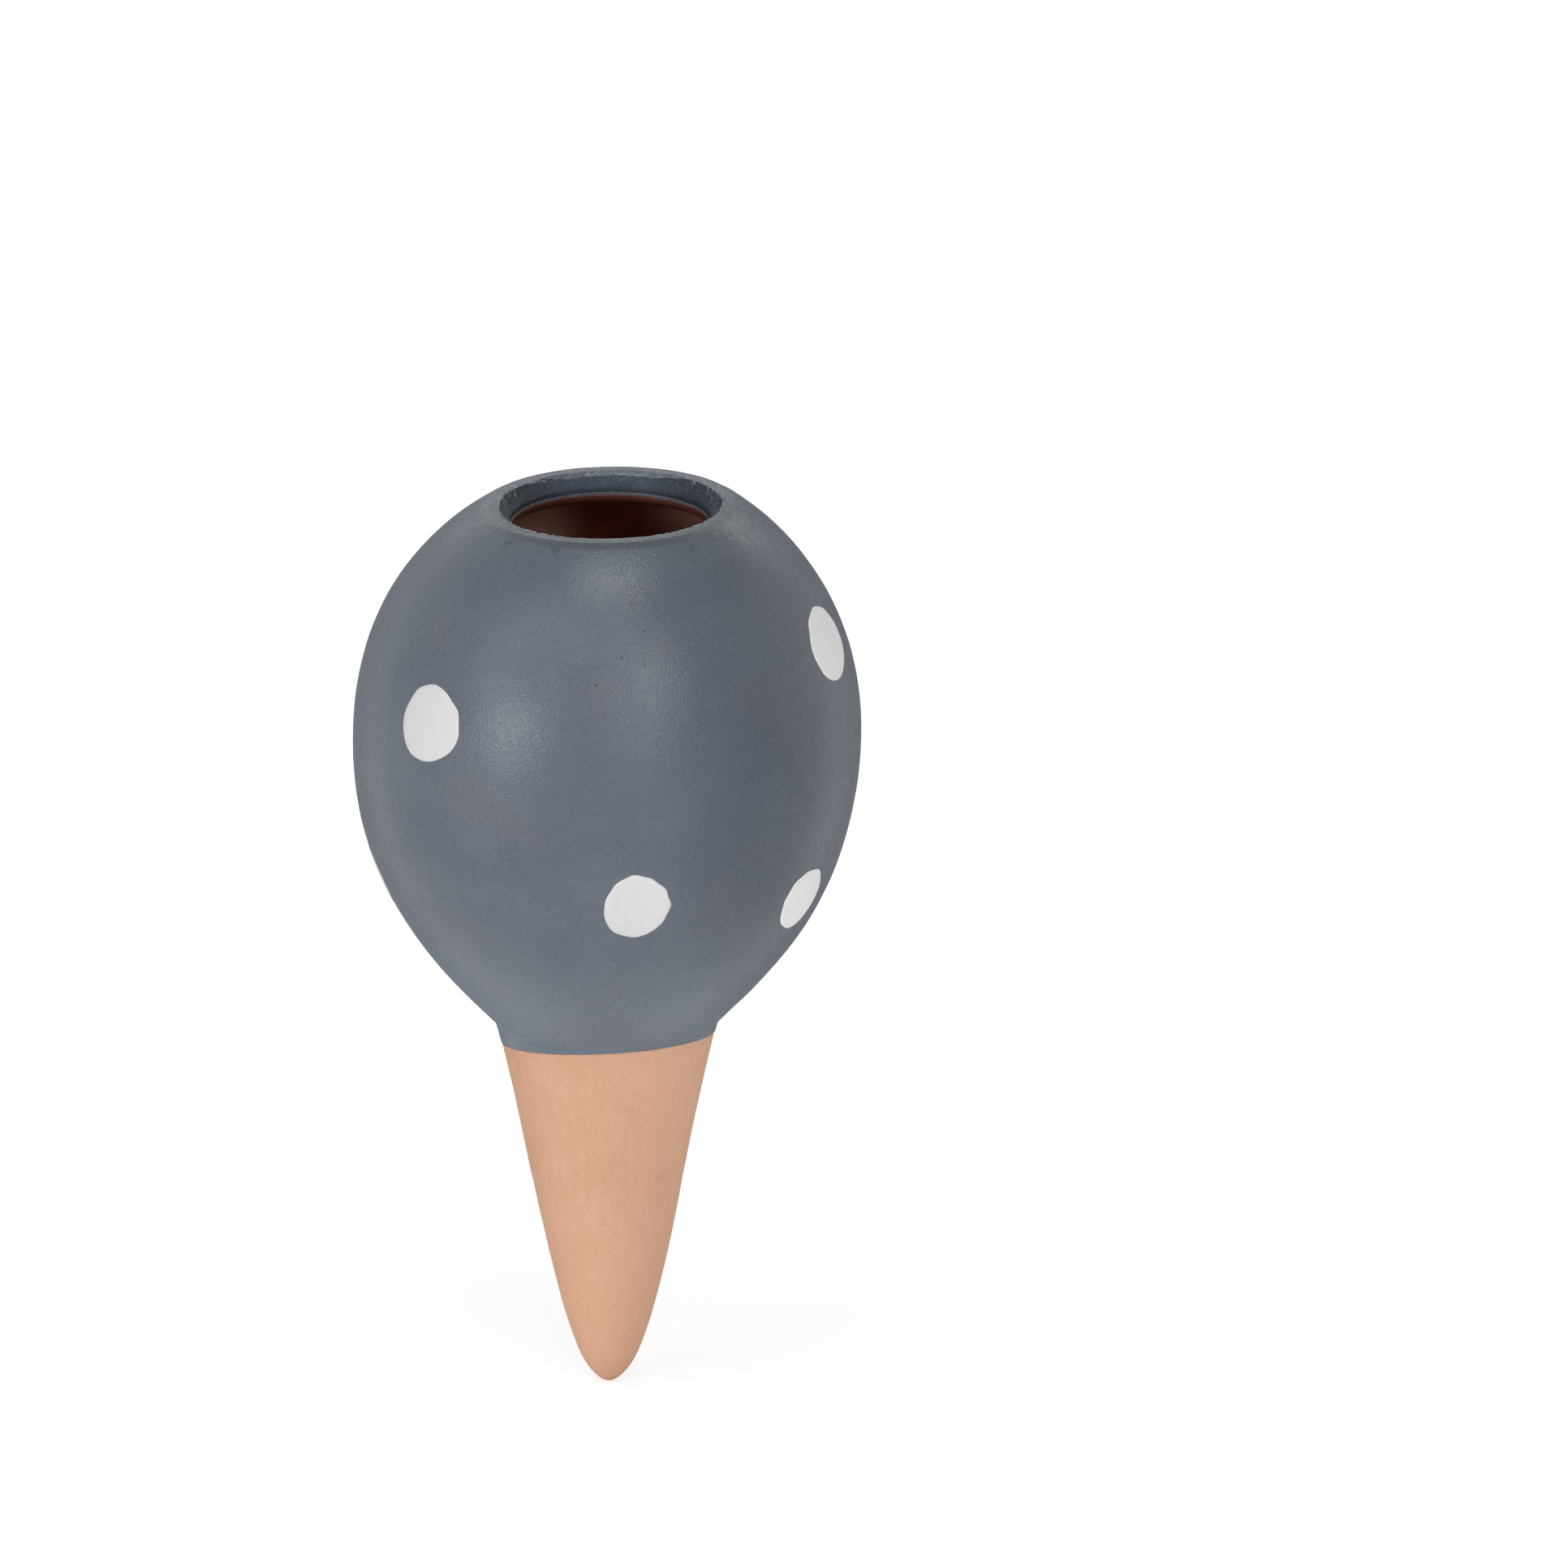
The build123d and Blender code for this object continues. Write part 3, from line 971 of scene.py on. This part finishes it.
@dataclass(frozen=True)
class Coat:
    """The slate coat over rim, globe and neck, down to the dip line."""

    surface: Surface
    columns: int = 720
    edge_width: float = 0.35
    lip_zone: float = 0.7
    crown_zone: float = 2.5
    crease_zone: Pair = (3.0, 0.6)
    thinnest: float = 0.02

    ROWS = (20, 15, 8, 60, 5)
    NECK_ROWS = (0, 0.8, 8)  # from, to and how many
    DIP_ROWS = (0.88, 0.94, 0.97, 0.985, 0.995, 1.0)
    BACK_ROWS = (0, 0.03, 0.12, 0.25, 0.4, 0.55, 0.7, 0.8, 0.88, 0.92, 0.94, 0.96, 0.98, 1)

    def build(self) -> Piece:
        """Builds the coat as a closed film that thins towards the dip line."""
        s = self.surface
        outline, form = s.outline, s.form
        azimuth = turn(self.columns)
        end = self._dip_along(azimuth)
        lip = outline.nearest(form.lip_radius, form.rim_height)
        crease = outline.nearest(*form.crease)
        stops = [0, lip - self.lip_zone, lip + self.lip_zone, s.crest + self.crown_zone]
        stops += [crease - zone for zone in self.crease_zone]
        parts = [np.linspace(a, b, n)[:-1] for a, b, n in zip(stops, stops[1:], self.ROWS)]
        fixed = np.r_[np.concatenate(parts), stops[-1]][:, None]
        share = np.r_[np.linspace(*self.NECK_ROWS)[1:], self.DIP_ROWS][:, None]
        last = fixed[-1]
        along = np.concatenate([fixed + 0 * azimuth, last + (end - last) * share])
        fullness = np.sqrt(np.clip((end - along) / self.edge_width, self.thinnest, 1))
        outer = s.skin(along, azimuth, s.clay_depth(along) * (1 - fullness))
        behind = end * (1 - np.r_[self.BACK_ROWS][:, None])
        inner = s.skin(behind, azimuth, s.clay_depth(behind))
        from_lip = np.concatenate([along, behind]) - s.crest
        grid = np.concatenate([outer, inner])
        return turned_mesh("dipped_coat", grid, End.RING, from_lip)

    def _dip_along(self, azimuth: Array) -> Array:
        """How far along the outline the dip line is at each azimuth."""
        form, outline = self.surface.form, self.surface.outline
        height = form.dip_height(azimuth, outline)
        return outline.where(height, outline.nearest(*form.waist), outline.along)


@dataclass(frozen=True)
class Globe:
    """The thrown clay shell under the coat."""

    surface: Surface
    hollow: Outline
    columns: int = 360
    slack: float = 0.03
    crown_zone: float = 4.0
    foot_radius: float = 21.3

    CROWN_ROWS, WALL_ROWS, FOOT_ROWS = 30, 60, 8

    def build(self) -> Piece:
        """Builds the shell: its outer skin, the socket in its foot, and the hollow's face."""
        s = self.surface
        form = s.form
        azimuth = turn(self.columns)
        crease = s.outline.nearest(*form.crease)
        crown = s.crest + self.crown_zone
        wall = np.linspace(crown, crease, self.WALL_ROWS)[1:]
        along = np.r_[np.linspace(0, crown, self.CROWN_ROWS), wall][:, None]
        outer = s.skin(along, azimuth, form.coat_thickness + self.slack)
        foot = self.foot_radius - form.socket_radius
        depth = form.socket_top - form.socket_floor
        share = np.linspace(0, 1, self.FOOT_ROWS)[:, None]
        seat = around(self.foot_radius - foot * share, form.socket_floor, azimuth)
        socket = around(form.socket_radius, form.socket_floor + depth * share, azimuth)[1:]
        up = np.linspace(self.hollow.length, 0, self.WALL_ROWS)[:, None]
        inside = self.hollow.at(up, -self.slack)
        hollow = s.work.settle(around(*inside, azimuth), azimuth, FAR_INSIDE)
        grid = np.concatenate([outer, seat, socket, hollow[1:]])
        return turned_mesh("thrown_globe", grid, End.RING)


@dataclass(frozen=True)
class Lining:
    """The brown lining on the hollow's face, from the coat's end in the throat to the floor."""

    surface: Surface
    hollow: Outline
    columns: int = 360
    thickness: float = 0.4
    inner_radius: float = 13.9
    top_zone: float = 4.0
    floor_gap: float = 0.2
    ring_dent: float = 0.12
    ring_reach: Pair = (2.0, 12.0)

    RINGS = Ripple(24, 31)
    TOP_ROWS, WALL_ROWS, FLOOR_ROWS = 24, 80, 6
    FLOOR_START = 0.1

    def build(self) -> Piece:
        """Builds the lining as a closed film that ends in a ring over the joint."""
        form, gap = self.surface.form, self.floor_gap
        azimuth = turn(self.columns)
        steps = np.linspace(0, self.top_zone, self.TOP_ROWS)[:-1]
        rest = np.linspace(self.top_zone, self.hollow.length, self.WALL_ROWS)
        down = np.r_[steps, rest][:, None]
        wall = around(*self.hollow.at(down), azimuth)
        low, high = form.socket_top, form.socket_top + self.thickness
        outer, inner = form.socket_radius, self.inner_radius
        share = np.linspace(self.FLOOR_START, 1, self.FLOOR_ROWS)[:, None]
        under = around(outer + (inner - outer) * share, low, azimuth)
        share = share - self.FLOOR_START
        over = around(inner + (outer - gap - inner) * share, high, azimuth)
        face_radius, face_height = self.hollow.at(down[::-1], self.thickness)
        face = around(face_radius, np.maximum(face_height, high), azimuth)
        dent = gap + self.ring_dent * self.RINGS.at(face)[..., None]
        level = face * [1, 1, 0]
        level /= np.maximum(np.linalg.norm(level, axis=-1, keepdims=True), 1)
        face = face - level * dent * ease(down[::-1, :, None], *self.ring_reach)
        grid = np.concatenate([wall, under, over, face])
        grid = self.surface.work.settle(grid, azimuth, FAR_INSIDE)
        return turned_mesh("poured_lining", grid, End.RING)


@dataclass(frozen=True)
class Spike:
    """The bare clay spike, hollow down to its thick tip, with a spigot into the globe."""

    surface: Surface
    columns: int = 480
    seam_gap: float = 0.1
    tip_zone: float = 4.0
    tip_turn: float = 1.55
    seat_radius: float = 21.0
    seat_height: float = 3.5
    spigot_radius: float = 17.5
    chamfer: float = 0.2
    bore_radius: float = 13.9
    bore_end: float = -62.3
    bore_slope: float = 81.0
    bore_handles: Pair = (0.42, 0.34)

    WALL_ROWS, TIP_ROWS = 100, 22
    BORE_ROWS = slice(20, None, 34)  # from just off the axis, at every 34th point

    def build(self) -> Piece:
        """Builds the spike from the end of its hollow, over the spigot, down to the tip."""
        s = self.surface
        azimuth = turn(self.columns)
        start = s.outline.nearest(*s.form.seam) + self.seam_gap
        last = s.outline.length - self.tip_zone
        tip = last + self.tip_zone * np.sin(np.linspace(0.0, self.tip_turn, self.TIP_ROWS))[1:]
        along = np.r_[np.linspace(start, last, self.WALL_ROWS), tip][:, None]
        outer = s.skin(along, azimuth, s.clay_depth(along))
        top = np.array([self.bore_radius, self.seat_height])
        end = np.array([0.0, self.bore_end])
        first, second = self.bore_handles
        down = heading(self.bore_slope) * [-1, 1] * first * (top[1] - end[1])
        bore = span(top, down, [self.bore_radius * second, 0], end)
        bore = bore[::-1][self.BORE_ROWS]
        high, cut = s.form.socket_top, self.chamfer
        rim = [
            (self.bore_radius, self.seat_height),
            (self.bore_radius, high - cut),
            (self.bore_radius + cut, high),
            (self.spigot_radius - cut, high),
            (self.spigot_radius, high - cut),
            (self.spigot_radius, self.seat_height),
            (self.seat_radius, self.seat_height),
        ]
        inside = np.concatenate([bore, rim])
        grid = np.concatenate([around(inside[:, :1], inside[:, 1:], azimuth), outer])
        return turned_mesh("bare_spike", grid, End.POLES)


@dataclass(frozen=True)
class Dot:
    """One dab of white paint: where it is, how big, and the outline that the brush left."""

    number: int
    azimuth: float
    elevation: float
    radius: float
    outline: tuple[float, ...]

    DISC_ROWS = (0.04, 0.86, 14)  # from, to and how many
    EDGE_ROWS = (0.9, 0.93, 0.955, 0.975, 0.99, 1.0)
    UNDER_ROWS = (0.97, 0.8, 0.5, 0.2)
    UNDER_DEPTH = 0.08
    EDGE_DEPTH = 0.04
    COLUMNS = 144
    STEPS, CATCH_UP = 30, 0.9  # how often, and by what share of its gap, a point moves out

    def build(self, surface: Surface, thickness: float = 0.16) -> Piece:
        """Builds the dab as a low pillow that follows the coat.

        The outline is a Fourier series through its radii. A point of the disc goes
        straight out from the waist's centre until it meets the turned surface.

        Args:
            surface: the coat's outer face.
            thickness: the paint's thickness.

        Returns:
            The new object.
        """
        angle = turn(self.COLUMNS)
        parts = np.fft.rfft(np.array(self.outline)) / len(self.outline)
        order = np.arange(len(parts))[:, None]
        weight = np.where((order == 0) | (order == len(parts) - 1), 1, 2)
        wave = (weight * parts[:, None] * np.exp(1j * order * angle)).real.sum(0)[None, :]
        edge = self.radius * wave
        reach = edge * np.r_[np.linspace(*self.DISC_ROWS), self.EDGE_ROWS][:, None]
        over = self._on_surface(surface, reach, angle, self._height(reach, edge, thickness))
        reach = edge * np.r_[self.UNDER_ROWS][:, None]
        under = self._on_surface(surface, reach, angle, -self.UNDER_DEPTH)
        grid = np.concatenate([over, under])
        return turned_mesh(f"painted_dot_{self.number}", grid, End.POLES)

    def _height(self, reach: Array, edge: Array, thickness: float) -> Array:
        """The paint's height: a quarter round over its last millimetre, ending in the coat."""
        inside = np.clip(edge - reach, 0, 1)
        return (thickness + self.EDGE_DEPTH) * np.sqrt(1 - (1 - inside) ** 2) - self.EDGE_DEPTH

    def _on_surface(
        self, surface: Surface, reach: Array, angle: Array, height: Array | float
    ) -> Array:
        """Points at a reach and angle on the dot's disc, carried out to the coat's face."""
        crest, outline = surface.crest, surface.outline
        radius, waist_height = surface.form.waist
        side, out = direction(self.azimuth + 90, 0), direction(self.azimuth, self.elevation)
        up = np.cross(side, out)
        flat = (reach * np.cos(angle))[..., None] * side + (reach * np.sin(angle))[..., None] * up
        flat[..., 2] += waist_height
        distance = np.full(flat.shape[:2], radius)
        for _ in range(self.STEPS):
            x, y, z = np.moveaxis(flat + distance[..., None] * out, -1, 0)
            gap = outline.where(z, crest, outline.radius) - np.hypot(x, y)
            distance = distance + self.CATCH_UP * gap
        x, y, z = np.moveaxis(flat + distance[..., None] * out, -1, 0)
        along = outline.where(z, crest, outline.along)
        return surface.skin(along, np.arctan2(x, -y), -height)


# Each outline is 24 radii, as shares of the dot's radius, counter-clockwise from its right.
EGG = (1.02, 1.03, 1.01, 0.98, 0.96, 0.97, 1.0, 1.03, 1.07, 1.07, 1.04, 1.02)
EGG += (1.01, 0.98, 0.97, 1.01, 1.02, 1.02, 1.02, 0.99, 0.97, 0.97, 1.02, 1.0)
SLANT = (1.01, 1.0, 0.96, 0.93, 0.91, 0.92, 0.95, 0.99, 1.03, 1.08, 1.1, 1.1)
SLANT += (1.11, 1.09, 1.04, 1.04, 1.02, 1.0, 1.02, 1.0, 1.01, 1.01, 1.01, 1.02)
ROUND = (1.03, 1.0, 1.0, 1.02, 1.05, 1.08, 1.11, 1.09, 1.1, 1.07, 1.01, 0.96)
ROUND += (0.92, 0.92, 0.91, 0.95, 0.99, 1.03, 1.05, 1.01, 1.0, 0.98, 1.01, 0.98)
PLAIN = (1.05, 1.07, 1.09, 1.1, 1.11, 1.09, 1.06, 1.01, 0.97, 0.96, 0.93, 0.9)
PLAIN += (0.91, 0.92, 0.92, 0.95, 0.92, 0.92, 0.92, 0.92, 0.96, 0.99, 0.98, 1.01)
DOTS = (
    Dot(1, -45.8, 14.5, 7.6, EGG),
    Dot(2, 72.4, 26.7, 7.6, SLANT),
    Dot(3, 7.2, -24.2, 6.8, ROUND),
    Dot(4, 58.0, -30.5, 6.8, PLAIN),
    Dot(5, -86.0, -32.5, 6.8, SLANT),
    Dot(6, 148.0, 16.0, 7.6, PLAIN),
    Dot(7, -124.0, 25.0, 7.6, ROUND),
    Dot(8, 110.0, -22.0, 6.8, EGG),
    Dot(9, 163.0, -34.0, 6.8, ROUND),
    Dot(10, -141.0, -21.0, 6.8, PLAIN),
)


# Studio


@dataclass(frozen=True)
class SoftBox:
    """A soft studio lamp, placed round the globe and pointed at it."""

    name: str
    azimuth: float
    elevation: float
    side: float
    brightness: float
    distance: float = 1.3
    over_floor: bool = False
    floor_spread: float = 100.0

    def hang(self, aim: Vector) -> None:
        """Hangs the lamp: power = pi x area x brightness, where 1 is the brightness of white.

        Args:
            aim: what the lamp points at, unless it hangs over the floor and points down at it.
        """
        lamp = bpy.data.lights.new(self.name, "AREA")
        lamp.shape = "SQUARE"
        lamp.size = self.side
        lamp.energy = math.pi * self.side**2 * self.brightness
        if self.over_floor:
            lamp.spread = math.radians(self.floor_spread)
        out = Vector(direction(self.azimuth, self.elevation))
        way = Vector((0, 0, -1)) if self.over_floor else -out
        add_object(self.name, lamp, aim + out * self.distance, way).visible_camera = False


@dataclass(frozen=True)
class Studio:
    """The floor, the pale surroundings, the lamps and the camera."""

    aim_height: float = 0.0625
    camera_distance: float = 12.0
    camera_elevation: float = 17.5
    across: float = 0.03477
    down: float = 0.0101
    lens: float = 1402.0
    world_brightness: float = 0.2
    paper: float = 0.9
    paper_seen: float = 0.3
    paper_glow: float = 0.78
    paper_half: float = 8.0
    clip_end: float = 50.0
    lamps: tuple[SoftBox, ...] = (
        SoftBox("left_low_box", -45, 8, 0.5, 6.1),
        SoftBox("left_middle_box", -62, 30, 0.6, 1.6),
        SoftBox("left_high_box", -60, 50, 0.45, 2.2),
        SoftBox("right_low_box", 16, 8, 0.45, 2.3),
        SoftBox("right_middle_box", 20, 30, 0.45, 3.8),
        SoftBox("right_side_box", 106, 16, 1.1, 0.41),
        SoftBox("back_right_box", 150, 30, 0.45, 1.6),
        SoftBox("back_box", 190, 18, 0.6, 1.2),
        SoftBox("overhead_box", 0, 80, 0.45, 5.1),
        SoftBox("front_floor_box", 0, 35.2, 0.5, 2.6, 0.673, over_floor=True),
        SoftBox("back_floor_box", 180, 35.2, 0.5, 1.6, 0.673, over_floor=True),
    )

    def build(self) -> None:
        """Sets up the whole studio."""
        self._lay_floor()
        self._light_world()
        aim = Vector((0, 0, self.aim_height))
        for lamp in self.lamps:
            lamp.hang(aim)
        self._place_camera()
        bpy.context.scene.view_settings.view_transform = "Standard"

    def _lay_floor(self) -> None:
        """Lays a white floor under the tip that shows white and keeps a soft shadow."""
        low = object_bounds()[0][2]
        half = self.paper_half
        mesh = bpy.data.meshes.new("studio_floor")
        corners = [(-half, -half, low), (half, -half, low), (half, half, low), (-half, half, low)]
        mesh.from_pydata(corners, [], [(0, 1, 2, 3)])
        paper = bpy.data.materials.new("white_paper_backdrop")
        tree = fresh_tree(paper)
        seen = self._seen(tree)
        shades = {0: seen, 6: (*[self.paper] * 3, 1), 7: (*[self.paper_seen] * 3, 1)}
        shade = add_value(tree, "Mix", shades, 2, data_type="RGBA")
        matt = add_value(tree, "BsdfDiffuse", {"Color": shade})
        glow = add_value(tree, "Math", {0: seen, 1: self.paper_glow}, operation="MULTIPLY")
        light = add_value(tree, "Emission", {"Strength": glow})
        both = add_value(tree, "AddShader", {0: matt, 1: light})
        add_node(tree, "OutputMaterial", {"Surface": both})
        mesh.materials.append(paper)
        add_object("studio_floor", mesh)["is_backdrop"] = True

    def _light_world(self) -> None:
        """Gives the surroundings an even light, and shows them white where they are seen."""
        world = bpy.data.worlds.new("pale_studio")
        tree = fresh_tree(world)
        seen = self._seen(tree)
        inputs = {0: seen, 1: 1 - self.world_brightness, 2: self.world_brightness}
        strength = add_value(tree, "Math", inputs, operation="MULTIPLY_ADD")
        sky = add_value(tree, "Background", {"Strength": strength})
        add_node(tree, "OutputWorld", {"Surface": sky})
        bpy.context.scene.world = world

    @staticmethod
    def _seen(tree: Tree) -> Socket:
        """One where a camera, reflection or glass ray sees the backdrop, and zero for light."""
        rays = add_node(tree, "LightPath").outputs
        inputs = {0: rays["Is Camera Ray"], 1: rays["Is Glossy Ray"]}
        both = add_value(tree, "Math", inputs, operation="MAXIMUM")
        inputs = {0: both, 1: rays["Is Transmission Ray"]}
        return add_value(tree, "Math", inputs, operation="MAXIMUM")

    def _place_camera(self) -> None:
        """Looks down at the globe from the photograph's angle, with the globe left of centre."""
        back = Vector(direction(0, self.camera_elevation))
        up = Vector(direction(180, 90 - self.camera_elevation))
        pivot = Vector((0, 0, self.aim_height))
        place = pivot + back * self.camera_distance
        target = pivot + Vector((1, 0, 0)) * self.across - up * self.down
        camera = bpy.data.cameras.new("photograph_view")
        camera.lens = self.lens
        camera.clip_end = self.clip_end
        holder = add_object("photograph_view", camera, place, target - place)
        bpy.context.scene.camera = holder


def main() -> None:
    """Loads the frame, builds and dresses each piece, and sets up the studio."""
    logging.basicConfig(level=logging.INFO, format="%(name)s: %(message)s")
    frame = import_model()
    form = TurnedForm()
    surface = Surface(form, form.outside(), HandWork())
    hollow = form.hollow()
    clay = BareClay().make()
    dress(Coat(surface).build(), SlateCoat().make(), "slate_coat")
    dress(Globe(surface, hollow).build(), clay, "reservoir_globe")
    dress(Lining(surface, hollow).build(), BrownLining().make(), "reservoir_lining")
    dress(Spike(surface).build(), clay, "porous_spike")
    paint = DotPaint().make()
    for dot in DOTS:
        dress(dot.build(surface), paint, f"white_dot_{dot.number}")
    slip = frame["nodes"]["luting_slip"]
    slip.data.materials.clear()
    slip.data.materials.append(JoiningSlip().make())
    Studio().build()


if __name__ == "__main__":
    main()
